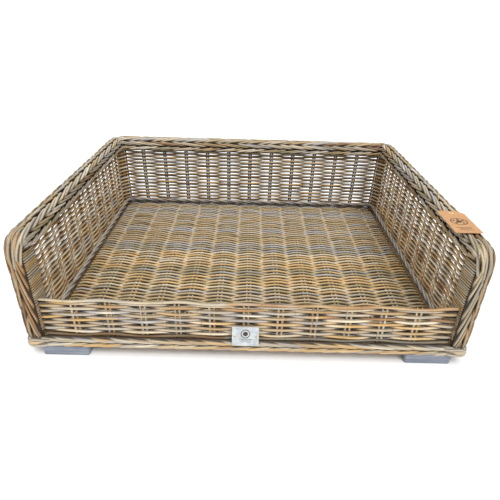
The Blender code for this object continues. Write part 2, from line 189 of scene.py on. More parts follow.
class Strands:
    """Gathers round strands and makes them one mesh, with tone, depth (painted shade) and grain on its
    points.
    """

    def __init__(self, name, crease=CREASE, shade=0.45):
        self.name = name
        self.crease = crease
        self.shade = shade
        self.points, self.tone, self.depth, self.grain, self.quads, self.tris = ([] for _ in range(6))
        self.count = 0

    def add(self, path, normal, radius, tone, depth=0.0, flat=1.0, sway=0.0):
        """One strand. normal is the outward direction of the surface that it lies on.

        depth, from 0 to 1, is how much painted shade darkens it. flat is its thickness as a share of its
        width. sway, from -1 to 1, is how far it stands out of the sheet that it is woven in: the side that
        faces the others is painted darker, as shade.
        """
        path = np.asarray(path, float)
        rings = len(path)
        tangent = unit(np.gradient(path, axis=0))
        normal = np.broadcast_to(np.asarray(normal, float), path.shape)
        up = unit(normal - (normal * tangent).sum(1, keepdims=True) * tangent)
        across = np.cross(tangent, up)
        radius = np.broadcast_to(np.asarray(radius, float), (rings,)).copy()
        radius[[0, -1]] *= END_SIZE
        angle = np.arange(SIDES) * 2 * math.pi / SIDES
        cosine, sine = np.cos(angle), np.sin(angle)
        ring = cosine[None, :, None] * up[:, None] * flat + sine[None, :, None] * across[:, None]
        points = path[:, None] + ring * radius[:, None, None]
        size = float(radius.mean())
        offset = rng.uniform(-5, 5, 3)
        grain = np.empty((rings, SIDES, 3))
        grain[..., 0] = cosine[None] * size + offset[0]
        grain[..., 1] = sine[None] * size + offset[1]
        grain[..., 2] = along(path)[:, None] + offset[2]
        # Painted shade: the flanks, where a strand meets its neighbours, and the side that faces into the
        # sheet darken its colour.
        crease = self.crease * smooth((np.abs(sine) - FLANK) / (1 - FLANK))
        sway = np.broadcast_to(sway, (rings,))[:, None]
        behind, before = (smooth((way * sway - SWAY_FROM) / SWAY_SPAN) for way in (-1, 1))
        turned_in = behind * np.clip(cosine + self.shade, 0, 1) + before * np.clip(-cosine - UNDERSIDE, 0, 1)
        lit = (1 - np.broadcast_to(depth, (rings,)))[:, None] * (1 - crease)[None] * (1 - turned_in)
        quads, tris = tube_faces(rings, SIDES)
        self.points.append(points.reshape(-1, 3))
        self.tone.append(np.repeat(np.broadcast_to(tone, (rings,)), SIDES))
        self.depth.append((1 - lit).ravel())
        self.grain.append(grain.reshape(-1, 3))
        self.quads.append(quads + self.count)
        self.tris.append(tris + self.count)
        self.count += rings * SIDES

    def build(self, material):
        points = np.concatenate(self.points)
        quads = np.concatenate(self.quads)
        tris = np.concatenate(self.tris)
        made = mesh_of(self.name, points, quads, tris)
        for label, values in (("tone", self.tone), ("depth", self.depth)):
            layer = made.attributes.new(label, "FLOAT", "POINT")
            layer.data.foreach_set("value", np.concatenate(values).astype(np.float32))
        layer = made.attributes.new("grain", "FLOAT_VECTOR", "POINT")
        layer.data.foreach_set("vector", np.concatenate(self.grain).astype(np.float32).ravel())
        made.materials.append(material)
        return new_object(self.name, made)


def mesh_of(name, points, quads, tris):
    made = bpy.data.meshes.new(name)
    loops = np.concatenate([quads.ravel(), tris.ravel()]).astype(np.int32)
    totals = np.concatenate([np.full(len(quads), 4), np.full(len(tris), 3)]).astype(np.int32)
    starts = np.concatenate([[0], np.cumsum(totals)[:-1]]).astype(np.int32)
    made.vertices.add(len(points))
    made.vertices.foreach_set("co", points.astype(np.float32).ravel())
    made.loops.add(len(loops))
    made.loops.foreach_set("vertex_index", loops)
    made.polygons.add(len(totals))
    made.polygons.foreach_set("loop_start", starts)
    made.polygons.foreach_set("loop_total", totals)
    made.polygons.foreach_set("use_smooth", np.ones(len(totals), bool))
    made.update(calc_edges=True)
    made.validate()
    return made


def new_object(name, data):
    made = bpy.data.objects.new(name, data)
    bpy.context.scene.collection.objects.link(made)
    return made


# ---- materials

class Nodes:
    """A little help for building a material's nodes."""

    def __init__(self, name):
        self.material = bpy.data.materials.new(name)
        self.material.use_nodes = True
        self.tree = self.material.node_tree
        self.shader = self.tree.nodes["Principled BSDF"]

    def new(self, kind, **settings):
        node = self.tree.nodes.new(kind)
        for key, value in settings.items():
            setattr(node, key, value)
        return node

    def link(self, source, target):
        self.tree.links.new(source, target)

    def attribute(self, name, output="Fac"):
        return self.new("ShaderNodeAttribute", attribute_name=name).outputs[output]

    def math(self, operation, a, b=None, clamp=False):
        node = self.new("ShaderNodeMath", operation=operation, use_clamp=clamp)
        for socket, value in zip(node.inputs, (a, b)):
            if value is None:
                continue
            if isinstance(value, (int, float)):
                socket.default_value = value
            else:
                self.link(value, socket)
        return node.outputs[0]

    def noise(self, vector, scale, detail=2.0, stretch=(1, 1, 1), rough=0.5):
        mapping = self.new("ShaderNodeMapping")
        mapping.inputs["Scale"].default_value = stretch
        self.link(vector, mapping.inputs["Vector"])
        node = self.new("ShaderNodeTexNoise")
        node.inputs["Scale"].default_value = scale
        node.inputs["Detail"].default_value = detail
        node.inputs["Roughness"].default_value = rough
        self.link(mapping.outputs["Vector"], node.inputs["Vector"])
        return node.outputs["Fac"]

    def ramp(self, value, stops):
        node = self.new("ShaderNodeValToRGB")
        elements = node.color_ramp.elements
        while len(elements) < len(stops):
            elements.new(0.5)
        for element, (place, colour) in zip(elements, stops):
            element.position = place
            element.color = (*colour, 1.0)
        self.link(value, node.inputs["Fac"])
        return node.outputs["Color"]

    def span(self, value, low, high, to_low, to_high):
        node = self.new("ShaderNodeMapRange")
        node.inputs["From Min"].default_value = low
        node.inputs["From Max"].default_value = high
        node.inputs["To Min"].default_value = to_low
        node.inputs["To Max"].default_value = to_high
        self.link(value, node.inputs["Value"])
        return node.outputs["Result"]

    def mix(self, factor, a, b, blend="MIX"):
        node = self.new("ShaderNodeMix", data_type="RGBA", blend_type=blend)
        colour_ends = (node.inputs[0], node.inputs[6], node.inputs[7])
        for socket, value in zip(colour_ends, (factor, a, b)):
            if isinstance(value, (int, float)):
                socket.default_value = value
            elif isinstance(value, tuple):
                socket.default_value = (*value, 1.0)
            else:
                self.link(value, socket)
        return node.outputs[2]

    def bump(self, height, strength, distance):
        node = self.new("ShaderNodeBump")
        node.inputs["Strength"].default_value = strength
        node.inputs["Distance"].default_value = distance
        self.link(height, node.inputs["Height"])
        self.link(node.outputs["Normal"], self.shader.inputs["Normal"])


def linear(r, g, b):
    """A colour given in display values, 0 to 255, as the linear one that a shader takes."""
    return tuple(((c / 255 + 0.055) / 1.055) ** 2.4 if c > 10 else c / 255 / 12.92 for c in (r, g, b))


# How each noise is stretched over a strand: per metre across it, twice, and along it
DRIFT = (40, 40, 9)
FIBRE = (620, 620, 16)
FINE_FIBRE = (1700, 1700, 60)
BARK = (150, 150, 22)
WEATHER = (110, 110, 13)
CANE_NODES = 4.6                # the rings of a cane's growth, per metre
CANE_NODE_SHARE = 0.011
SHADE_DARKNESS = 0.97                   # how dark painted shade makes a strand of depth 1


def rattan(name, tones, gain=1.0):
    """Rattan core: a tone for each strand, fibre streaks, grey weathering, bark patches, nodes and painted
    shade. gain is painted light and shade.
    """
    made = Nodes(name)
    grain = made.attribute("grain", "Vector")
    tone = made.attribute("tone")
    depth = made.attribute("depth")
    drift = made.noise(grain, 1.0, 2.0, DRIFT)
    shade = made.math("ADD", tone, made.span(drift, 0.3, 0.7, -0.10, 0.10), clamp=True)
    colour = made.ramp(shade, tones)
    streak = made.noise(grain, 1.0, 3.0, FIBRE, 0.6)
    fine = made.noise(grain, 1.0, 2.0, FINE_FIBRE, 0.6)
    # gain scales the streaks' brightness, and so the whole colour: painted light and shade for the piece as a
    # whole.
    light = made.span(streak, 0.32, 0.68, 0.70 * gain, 1.18 * gain)
    colour = made.mix(1.0, colour, light, "MULTIPLY")
    bark = made.noise(grain, 1.0, 3.0, BARK, 0.6)
    colour = made.mix(made.span(bark, 0.60, 0.74, 0.0, 0.45), colour, linear(138, 102, 60))
    weather = made.noise(grain, 1.0, 3.0, WEATHER, 0.55)
    colour = made.mix(made.span(weather, 0.56, 0.72, 0.0, 0.55), colour, linear(196, 191, 184))
    ring = made.new("ShaderNodeSeparateXYZ")
    made.link(grain, ring.inputs[0])
    along_node = made.math("FRACT", made.math("MULTIPLY", ring.outputs[2], CANE_NODES))
    node_line = made.math("LESS_THAN", along_node, CANE_NODE_SHARE)
    colour = made.mix(made.math("MULTIPLY", node_line, 0.35), colour, linear(92, 66, 40))
    # Painted shade: depth darkens the colour towards near black.
    painted_shade = made.math("MULTIPLY", depth, SHADE_DARKNESS, clamp=True)
    colour = made.mix(painted_shade, colour, linear(18, 13, 9))
    made.link(colour, made.shader.inputs["Base Color"])
    made.link(made.span(streak, 0.3, 0.7, 0.62, 0.46), made.shader.inputs["Roughness"])
    height = made.math("ADD", made.math("MULTIPLY", streak, 0.7), made.math("MULTIPLY", fine, 0.3))
    made.bump(height, 0.55, 0.0006)
    return made.material


TAN = linear(188, 160, 118)
GOLD = linear(206, 168, 108)
ORANGE = linear(176, 130, 78)
BROWN = linear(134, 102, 68)
KHAKI = linear(158, 142, 102)
BEIGE = linear(204, 186, 154)
CREAM = linear(228, 216, 192)
GREY = linear(178, 168, 152)
COOL = linear(166, 162, 160)
UMBER = linear(104, 84, 60)

FRONT_TONES = [(0.0, BROWN), (0.08, ORANGE), (0.18, TAN), (0.36, GREY), (0.52, BEIGE), (0.68, GOLD),
               (0.84, CREAM), (0.92, COOL), (1.0, GOLD)]
FLOOR_TONES = [(0.0, UMBER), (0.10, KHAKI), (0.30, TAN), (0.46, GREY), (0.60, COOL), (0.76, KHAKI),
               (0.9, GOLD), (1.0, BEIGE)]
WALL_TONES = [(0.0, UMBER), (0.14, BROWN), (0.30, KHAKI), (0.48, GREY), (0.64, TAN), (0.78, COOL),
              (0.9, BEIGE), (1.0, GOLD)]
SIDE_TONES = [(0.0, BROWN), (0.12, ORANGE), (0.26, TAN), (0.46, BEIGE), (0.60, GOLD), (0.74, GREY),
              (0.88, CREAM), (1.0, GOLD)]
RIM_TONES = [(0.0, BROWN), (0.12, TAN), (0.28, KHAKI), (0.46, GREY), (0.62, BEIGE), (0.78, COOL),
             (0.92, CREAM), (1.0, TAN)]

# Copies of one rattan material. Their gains lighten or darken each piece as a whole: painted light and shade
# for how lit it is.
front_cane = rattan("rattan_front", FRONT_TONES, 1.12)
floor_cane = rattan("rattan_floor", FLOOR_TONES, 1.14)
wall_cane = rattan("rattan_wall", WALL_TONES)
side_cane = rattan("rattan_side", SIDE_TONES, 1.24)
rim_cane = rattan("rattan_rim", RIM_TONES)
edge_cane = rattan("rattan_edge", FRONT_TONES, 0.88)
base_cane = rattan("rattan_base", FRONT_TONES, 1.04)


# ---- in-and-out weave

def woven_row(phase, sign, sharp):
    """Distance from the middle of the sheet, from -1 to 1, where phase counts stakes."""
    wave = np.cos(math.pi * phase)
    return sign * np.sign(wave) * np.abs(wave) ** sharp


def stake_phase(s, stakes):
    """How many stakes lie before each place s, with parts."""
    stakes = np.asarray(stakes)
    first = stakes[0] - (stakes[1] - stakes[0])
    last = stakes[-1] + (stakes[-1] - stakes[-2])
    marks = np.concatenate([[first], stakes, [last]])
    return np.interp(s, marks, np.arange(len(marks)))


def wobble(s, size, wave):
    """A slow random bend along a strand."""
    total = np.zeros_like(s)
    for share in (1.0, 0.5):
        total += share * np.sin(s / (wave * share) * 2 * math.pi + rng.uniform(0, 6.3))
    return size * total * rng.uniform(0.4, 1.0)


def strand_tones(s, middle=0.5, spread=0.5):
    """The tone along a strand: it changes where a new length was laid in."""
    tone = np.full(len(s), middle + rng.uniform(-spread, spread))
    for _ in range(rng.integers(0, 3)):
        tone[s > rng.uniform(s[0], s[-1])] = middle + rng.uniform(-spread, spread)
    return tone


def plan_path(step=0.0072):
    """The walls' middle line in plan, from the left front post round the back to the right one."""
    points = [(-SIDE_X, y) for y in np.arange(WALL_START_Y, CORNER_Y, step)]
    turns = np.linspace(0, math.pi / 2, 9)
    points += [(-CORNER_X - BEND * math.cos(a), CORNER_Y + BEND * math.sin(a)) for a in turns]
    points += [(x, BACK_Y) for x in np.arange(-CORNER_X + step, CORNER_X, step)]
    points += [(CORNER_X + BEND * math.sin(a), CORNER_Y + BEND * math.cos(a)) for a in turns]
    points += [(SIDE_X, y) for y in np.arange(CORNER_Y - step, WALL_START_Y, -step)]
    points = np.array(points)
    tangent = unit(np.gradient(points, axis=0))
    outward = np.stack([-tangent[:, 1], tangent[:, 0]], 1)
    return points, along(points), outward


plan, plan_s, plan_out = plan_path()


def wall_stakes():
    """Places of the stake pairs along the plan path, with the corner posts."""
    side = [SIDE_STAKE_START + i * SIDE_STAKE_PITCH for i in range(10)]
    left = [s for s in side if s < SIDE_RUN - 0.02]
    corner = SIDE_RUN + ARC / 2
    middle = SIDE_RUN + ARC + CORNER_X
    back = [middle + s for s in CROSS_STAKES]
    right = [2 * middle - s for s in reversed(left)]
    return left + [corner] + back + [2 * middle - corner] + right


def weave_walls():
    """The left, back and right walls: the weavers run on round the back corners from wall to wall."""
    stakes = wall_stakes()
    parts = {name: Strands("weave_" + name) for name in ("left", "back", "right")}
    ends = (SIDE_RUN + ARC, SIDE_RUN + ARC + BACK_RUN)
    splits = [int(np.searchsorted(plan_s, end + 1e-6)) for end in ends]
    pieces = (("left", 0, splits[0]), ("back", splits[0] - 1, splits[1]), ("right", splits[1] - 1, len(plan)))
    phase = stake_phase(plan_s, stakes)
    normal = np.column_stack([plan_out, np.zeros(len(plan))])
    for row in range(WALL_ROWS):
        height = WALL_FOOT + row * WALL_ROW + wobble(plan_s, 0.0005, 0.31)
        sway = woven_row(phase + wobble(plan_s, 0.03, 0.2), 1 if row % 2 else -1, 0.75)
        shift = sway * (WALL_SWAY + wobble(plan_s, 0.0004, 0.4))
        path = lean(np.column_stack([plan + plan_out * shift[:, None], height]))
        radius = WALL_CANE + wobble(plan_s, 0.00015, 0.27)
        tone = strand_tones(plan_s)
        for name, low, high in pieces:
            part = slice(low, high)
            parts[name].add(path[part], normal[part], radius[part], tone[part], 0, 0.88, sway[part])
    posts = (ends[0] - ARC / 2, ends[1] + ARC / 2)
    for place in stakes + [s + aside for s in posts for aside in (-0.014, 0.014)]:
        name = "left" if place < ends[0] + 0.002 else "back" if place < ends[1] - 0.002 else "right"
        # The stakes are painted darker, as shade among the weavers, and darkest beside the corner posts.
        depth = 0.8 if min(abs(place - s) for s in posts) < 0.02 else 0.45
        for side in (-1, 1):
            s = place + side * STAKE_HALF_GAP
            x, y = (float(np.interp(s, plan_s, plan[:, i])) for i in (0, 1))
            out = [float(np.interp(s, plan_s, plan_out[:, i])) for i in (0, 1)]
            z = np.linspace(STAKE_FOOT, STAKE_TOP, 14)
            path = lean(np.column_stack([np.full(14, x), np.full(14, y), z]))
            path[:, 1] += wobble(z, 0.0002, 0.2) * abs(out[0])
            parts[name].add(path, (*out, 0), STAKE_RADIUS, rng.uniform(0, 0.5), depth)
    return parts


def front_strip(part, side):
    """Close, fine windings that fill a side wall beside its front post."""
    y = np.linspace(POLE_FRONT_Y - 0.006, POLE_FRONT_Y + 0.046, 9)
    for row in range(int(STRIP_HEIGHT / STRIP_PITCH)):
        z = STRIP_FOOT + row * STRIP_PITCH
        tone = 0.62 + 0.14 * math.sin(row * 0.45) + rng.uniform(-0.10, 0.10)
        for face in (-1, 1):
            x = side * (SIDE_X + face * 0.0092) * np.ones_like(y)
            height = z + 0.005 * (y[-1] - y) / (y[-1] - y[0]) + 0.0008 * math.sin(row)
            path = lean(np.column_stack([x, y, height + wobble(y, 0.0003, 0.1)]))
            # The windings are painted a touch darker, as shade.
            part.add(path, (side * face, 0, 0), 0.0026, tone, 0.05)


def weave_front():
    """The low front wall. Its first and last rows lie flat along the front, to finish it."""
    # shade=1.35 paints the strands near black where they pass behind the stakes, as shade.
    part = Strands("weave_front", shade=1.35)
    x = np.linspace(-FRONT_REACH, FRONT_REACH, 128)
    phase = stake_phase(x, CROSS_STAKES)
    low, high = 0.0505, front_high[2] - 0.0042
    rows = int(round((high - low) / FRONT_ROW)) + 1
    for row in range(rows):
        z = low + (high - low) * row / (rows - 1)
        sign = -1 if row % 2 else 1
        sway = woven_row(phase + wobble(x, 0.03, 0.2), sign, 0.75)
        shift = -sway * (FRONT_SWAY + wobble(x, 0.0003, 0.3))
        height = z + wobble(x, 0.0011, 0.2)
        if row in (0, rows - 1):
            sway = 1.0
            shift = -0.0036 + 0.0008 * np.cos(math.pi * phase)
            height = height + 0.0012 * np.cos(math.pi * phase) * sign
        path = lean(np.column_stack([x, FRONT_Y + shift, height]))
        radius = FRONT_CANE + wobble(x, 0.0003, 0.25)
        # The lowest row is painted darker, as shade where it meets the base plait.
        part.add(path, (0, -1, 0), radius, strand_tones(x), 0.6 if row == 0 else 0, 1.0, sway)
    for place in CROSS_STAKES:
        for side in (-1, 1):
            z = np.linspace(STAKE_FOOT, high, 10)
            x_place = place + side * FRONT_HALF_GAP + wobble(z, 0.0004, 0.1)
            path = lean(np.column_stack([x_place, np.full(10, FRONT_Y + 0.0004), z]))
            # The stakes are painted a little darker, as shade between the weavers.
            part.add(path, (0, -1, 0), STAKE_RADIUS, rng.uniform(0.1, 0.9), 0.22)
    return part


def weave_floor():
    """The floor, in three pieces from front to back. The rows nearest the front and the back are shorter."""
    parts = [Strands("weave_floor_" + name) for name in ("front", "middle", "back")]
    x = np.arange(-0.458, 0.4581, 0.0076)
    stakes = [i * FLOOR_STAKE_PITCH for i in range(-6, 7)]
    phase = stake_phase(x, stakes)
    edge = smooth((0.462 - np.abs(x)) / 0.03)
    y_low, y_high = floor_low[1] + 0.004, floor_high[1] + 0.003
    span = y_high - y_low
    rows = int(span / FLOOR_ROW)
    drift = 0.6
    for row in range(rows):
        drift = float(np.clip(drift + rng.uniform(-0.24, 0.24), 0.22, 0.92))
        y = y_low + span * row / (rows - 1)
        sway = woven_row(phase + wobble(x, 0.04, 0.2), 1 if row % 2 else -1, 0.95) * edge
        shift = sway * (FLOOR_SWAY + wobble(x, 0.0004, 0.3))
        path = np.column_stack([x, y + wobble(x, 0.0008, 0.3), FLOOR_Z + shift])
        radius = FLOOR_CANE + wobble(x, 0.0002, 0.25)
        tone = strand_tones(x, drift, 0.13)
        shown = np.abs(x) < (0.452 if abs(y) > 0.36 else 1.0)
        part = parts[min(2, row * 3 // rows)]
        part.add(path[shown], (0, 0, 1), radius[shown], tone[shown], 0, 1.0, sway[shown])
    for index, part in enumerate(parts):
        y = np.linspace(y_low + span * index / 3, y_low + span * (index + 1) / 3, 24)
        for place in stakes[1:-1]:
            for side in (-1, 1):
                x_place = place + side * FRONT_HALF_GAP + wobble(y, 0.0003, 0.3)
                path = np.column_stack([x_place, y, np.full(24, FLOOR_Z + 0.0012)])
                # The stakes are painted a little darker, as shade under the weavers.
                part.add(path, (0, 0, 1), STAKE_RADIUS, rng.uniform(0.3, 0.9), 0.1)
    return parts


# ---- plaits

class Track:
    """A path with its outward and upward directions, that a plait follows."""

    def __init__(self, points, outward, upward):
        self.points = lean(points)
        self.outward = unit(np.asarray(outward, float))
        self.upward = unit(np.asarray(upward, float))
        self.s = along(self.points)
        self.length = float(self.s[-1])

    def at(self, s, source):
        return np.stack([np.interp(s, self.s, source[:, i]) for i in range(3)], -1)

    def place(self, s, a, b):
        """The point a outward and b upward of the path at s."""
        aside = self.at(s, self.outward) * a[:, None]
        above = self.at(s, self.upward) * b[:, None]
        return self.at(s, self.points) + aside + above

    def direction(self, s, a, b):
        return unit(self.at(s, self.outward) * a[:, None] + self.at(s, self.upward) * b[:, None])


class Section:
    """The outline that a plait lies on, measured from its inner foot over the top to its outer foot."""

    def __init__(self, half, low, high, bend, shift=0.0):
        self.half, self.low, self.high, self.bend, self.shift = half, low, high, bend, shift
        flank = high - bend - low
        turn = bend * math.pi / 2
        top = 2 * (half - bend)
        self.marks = np.cumsum([flank, turn, top, turn])
        self.length = 2 * flank + 2 * turn + top

    def at(self, u, lift):
        """(a, b, outward a, outward b) at the distance u along the outline, lifted off it."""
        u = np.asarray(u, float)
        foot_in, top_in, top_out, foot_out = self.marks
        right = math.pi / 2
        angle = np.where(u < top_in, math.pi - np.clip((u - foot_in) / self.bend, 0, right), right)
        angle = np.where(u > top_out, right - np.clip((u - top_out) / self.bend, 0, right), angle)
        na, nb = np.cos(angle), np.sin(angle)
        inner = self.half - self.bend
        shoulder = self.high - self.bend
        centre_a = np.where(u < top_in, -inner, np.where(u > top_out, inner, -inner + (u - top_in)))
        centre_b = np.where(u < foot_in, self.low + u, shoulder)
        centre_b = np.where(u > foot_out, shoulder - (u - foot_out), centre_b)
        reach = self.bend + lift
        return self.shift + centre_a + na * reach, centre_b + nb * reach, na, nb


RIM_SECTION = Section(half=0.0178, low=-0.0212, high=0.0160, bend=0.0070)
EDGE_SECTION = Section(half=0.0150, low=-0.0205, high=0.0178, bend=0.0060, shift=0.0035)
# The two edges of each of the plait's bands along the section, in metres: on the rim, and down a front edge
RIM_BANDS = ((0.0030, 0.0112), (0.0182, 0.0290), (0.0335, 0.0468), (0.0537, 0.0592), (0.0637, 0.0768),
             (0.0837, 0.0975))
EDGE_BANDS = ((0.0300, 0.0360), (0.0330, 0.0390), (0.0370, 0.0530), (0.0565, 0.0605), (0.0640, 0.0745),
              (0.0790, 0.0950))
# Each band's number, how far its strands run along the plait, their radius and the pitch of their pairs
SIDE_STRANDS = list(zip(range(6), (0.060, 0.074, 0.088, 0.052, 0.088, 0.090),
                        (0.0031, 0.0031, 0.0031, 0.0030, 0.0031, 0.0031), [PLAIT_PITCH] * 6))
EDGE_STRANDS = list(zip(range(2, 6), (0.096, 0.074, 0.086, 0.088), (0.0032, 0.0031, 0.0032, 0.0032),
                        (0.086, 0.104, 0.090, 0.078)))
BACK_STRANDS = list(zip(range(6), (0.062, 0.080, 0.096, 0.056, 0.092, 0.092),
                        (0.0034, 0.0034, 0.0034, 0.0032, 0.0033, 0.0033), [PLAIT_PITCH] * 6))
TURN = (EDGE_RUN, EDGE_RUN + ARC)       # where the front edge's bands change into the rim's
ALL_RIM = (-2.0, -1.0)                  # the same where they are the rim's from the start
DIVE = 0.0075                           # how far the strands go under the next band at their ends


def band_edges(band, s, turn):
    """The two edges of a band at the places s, changing from the front edge's to the rim's over the turn."""
    share = smooth((s - turn[0]) / (turn[1] - turn[0]))
    return [EDGE_BANDS[band][i] + (RIM_BANDS[band][i] - EDGE_BANDS[band][i]) * share for i in (0, 1)]


def plait_band(part, track, section, strands, start, stop, turn, crowd, offset, tones=(0, 1), sink=None):
    """Pairs of strands that slant across one band of a plait, diving under the next band at their ends.

    Every second band slants the other way. crowd brings the two strands of a pair together. sink gives one
    more lift for each place on the track.
    """
    band, run, radius, pitch = strands
    step = pitch / 2 * crowd
    for pair in range(-1, int((stop - start) / pitch) + 2):
        pair_tone = rng.uniform(*tones)
        for i in range(2):
            middle = start + offset * band + pair * pitch + i * step + rng.uniform(-0.0016, 0.0016)
            reach = run * rng.uniform(0.96, 1.06)
            t = np.linspace(-0.20, 1.20, 26)
            s = middle + reach * (t - 0.5)
            shown = (s > start) & (s < stop)
            if shown.sum() < 6:
                continue
            t, s = t[shown], s[shown]
            low, high = band_edges(band, s, turn)
            across = 1 - t if band % 2 else t
            u = low + (high - low) * np.clip(across, -0.04, 1.04)
            end = np.minimum(t + 0.20, 1.20 - t)
            lift = -DIVE * (1 - smooth(end / 0.30)) + 0.0010 * np.sin(np.clip(t, 0, 1) * math.pi)
            cut = np.minimum(s - start, stop - s)
            lift = lift - 0.004 * (1 - smooth(cut / 0.010))
            if sink is not None:
                lift = lift + sink(s)
            a, b, na, nb = section.at(u, lift)
            path = track.place(s, a, b)
            normal = track.direction(s, na, nb)
            # Painted shade: the deeper a strand sinks under the other bands, the darker its colour.
            depth = np.clip(-lift / 0.0052, 0, 1) * 0.85
            size = radius * (1 + wobble(s, 0.03, 0.08))
            part.add(path, normal, size, pair_tone + rng.uniform(-0.09, 0.09), depth)


def rim_track(side):
    """The left or right rim's pole line: up the front edge, round two corners and along the side wall."""
    bend_y, bend_z = POLE_FRONT_Y + BEND, POLE_Z - BEND
    points, out, up = [], [], []
    for z in np.linspace(EDGE_FOOT, bend_z, 24)[:-1]:
        points.append((side * SIDE_X, POLE_FRONT_Y, z))
        out.append((side, 0, 0))
        up.append((0, -1, 0))
    for a in np.linspace(0, math.pi / 2, 10):
        points.append((side * SIDE_X, bend_y - BEND * math.cos(a), bend_z + BEND * math.sin(a)))
        out.append((side, 0, 0))
        up.append((0, -math.cos(a), math.sin(a)))
    for y in np.linspace(bend_y, CORNER_Y, 60)[1:-1]:
        points.append((side * SIDE_X, y, POLE_Z))
        out.append((side, 0, 0))
        up.append((0, 0, 1))
    for a in np.linspace(0, math.pi / 2, 10):
        points.append((side * (CORNER_X + BEND * math.cos(a)), CORNER_Y + BEND * math.sin(a), POLE_Z))
        out.append((side * math.cos(a), math.sin(a), 0))
        up.append((0, 0, 1))
    return Track(np.array(points), out, up)


def back_track():
    """The back rim's pole line, with the back corners at its two ends."""
    points, out = [], []
    for a in np.linspace(0, math.pi / 2, 10):
        points.append((-CORNER_X - BEND * math.cos(a), CORNER_Y + BEND * math.sin(a), POLE_Z))
        out.append((-math.cos(a), math.sin(a), 0))
    for x in np.linspace(-CORNER_X, CORNER_X, 70)[1:-1]:
        points.append((x, BACK_Y, POLE_Z))
        out.append((0, 1, 0))
    for a in np.linspace(0, math.pi / 2, 10):
        points.append((CORNER_X + BEND * math.sin(a), CORNER_Y + BEND * math.cos(a), POLE_Z))
        out.append((math.sin(a), math.cos(a), 0))
    return Track(np.array(points), out, [(0, 0, 1)] * len(points))


def sink_at_foot(s):
    """Takes the strands of a front edge in towards the pole at its foot."""
    return -0.0060 * (1 - smooth((s - 0.004) / 0.030))


def side_rims():
    """Each side's name, track, rim and front edge."""
    rims = []
    for name, side, edge_tones in (("left", -1, (0.03, 0.25)), ("right", 1, (0.12, 0.62))):
        rim = Strands("plait_rim_" + name)
        edge = Strands("plait_edge_" + name, DEEP_CREASE)
        track = rim_track(side)
        start, stop = TURN[0] + ARC * 0.3, track.length - ARC * 0.35
        for strands in SIDE_STRANDS:
            plait_band(rim, track, RIM_SECTION, strands, start, stop, TURN, 0.82, 0.011)
        for strands in EDGE_STRANDS:
            plait_band(edge, track, EDGE_SECTION, strands, 0.005, TURN[1] - 0.002, TURN, 0.82, 0.009,
                       edge_tones, sink_at_foot)
        corner_loops(edge, track)
        front_strip(edge, side)
        rims.append((name, track, rim, edge))
    return rims


def corner_loops(part, track):
    """Longer strands that turn round the front corner from the edge onto the rim, over the others."""
    corner, turned = TURN
    for from_u, to_u, before, after, tone in (
        (0.0400, 0.0230, 0.030, 0.030, 0.44),
        (0.0440, 0.0330, 0.022, 0.030, 0.50),
        (0.0510, 0.0430, 0.040, 0.028, 0.38),
        (0.0570, 0.0560, 0.064, 0.028, 0.20),
    ):
        s = np.linspace(corner - before, turned + after, 34)
        u = from_u + (to_u - from_u) * smooth((s - s[0]) / (s[-1] - s[0])) + wobble(s, 0.0008, 0.12)
        reach = np.minimum(s - s[0], s[-1] - s)
        lift = 0.0024 - 0.0130 * (1 - smooth(reach / 0.022))
        lift = lift - 0.0034 * smooth((s - corner) / (turned - corner))
        a, b, na, nb = EDGE_SECTION.at(u, lift)
        normal = track.direction(s, na, nb)
        # Painted shade: the loops darken where their ends sink under the plait.
        part.add(track.place(s, a, b), normal, 0.0034, tone, np.clip(-lift / 0.005, 0, 1) * 0.7)


def back_rim(track):
    part = Strands("plait_rim_back")
    stop = track.length - ARC * 0.45
    for strands in BACK_STRANDS:
        plait_band(part, track, RIM_SECTION, strands, ARC * 0.45, stop, ALL_RIM, 0.80, 0.013)
    return part


BASE_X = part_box("base_braid_right")[1][0] - 0.0010
BASE_FRONT_Y = base_low[1] + 0.0034
BASE_BACK_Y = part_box("base_braid_back")[1][1] - 0.0034
BASE_BEND = 0.006
BASE_RUNS = (2 * BASE_X - 2 * BASE_BEND, BASE_BACK_Y - BASE_FRONT_Y - 2 * BASE_BEND)
BASE_HALF = (base_high[2] - base_low[2]) / 2 + 0.0020
BASE_STEP = 0.012


def base_track():
    """The line round the foot of the walls, from the left front corner and a little past a whole turn."""
    corners = ((-BASE_X, BASE_FRONT_Y), (BASE_X, BASE_FRONT_Y), (BASE_X, BASE_BACK_Y), (-BASE_X, BASE_BACK_Y))
    headings = ((1, 0), (0, 1), (-1, 0), (0, -1))
    points, out = [], []
    for index in range(4):
        x0, y0 = corners[index]
        x1, y1 = corners[(index + 1) % 4]
        hx, hy = headings[index]
        ox, oy = hy, -hx
        ahead = headings[(index + 1) % 4]
        length = abs(x1 - x0) + abs(y1 - y0)
        for d in np.linspace(BASE_BEND, length - BASE_BEND, int(length / BASE_STEP)):
            points.append((x0 + hx * d, y0 + hy * d, 0))
            out.append((ox, oy, 0))
        cx, cy = x1 + (ahead[0] - hx) * BASE_BEND, y1 + (ahead[1] - hy) * BASE_BEND
        for a in np.linspace(0, math.pi / 2, 8)[1:-1]:
            direction = (ox * math.cos(a) + hx * math.sin(a), oy * math.cos(a) + hy * math.sin(a))
            points.append((cx + direction[0] * BASE_BEND, cy + direction[1] * BASE_BEND, 0))
            out.append((*direction, 0))
    again = int(0.15 / BASE_STEP)
    points = np.array(points + points[:again], float)
    points[:, 2] = (base_low[2] + base_high[2]) / 2 + 0.0010
    return Track(points, out + out[:again], [(0, 0, 1)] * len(points))


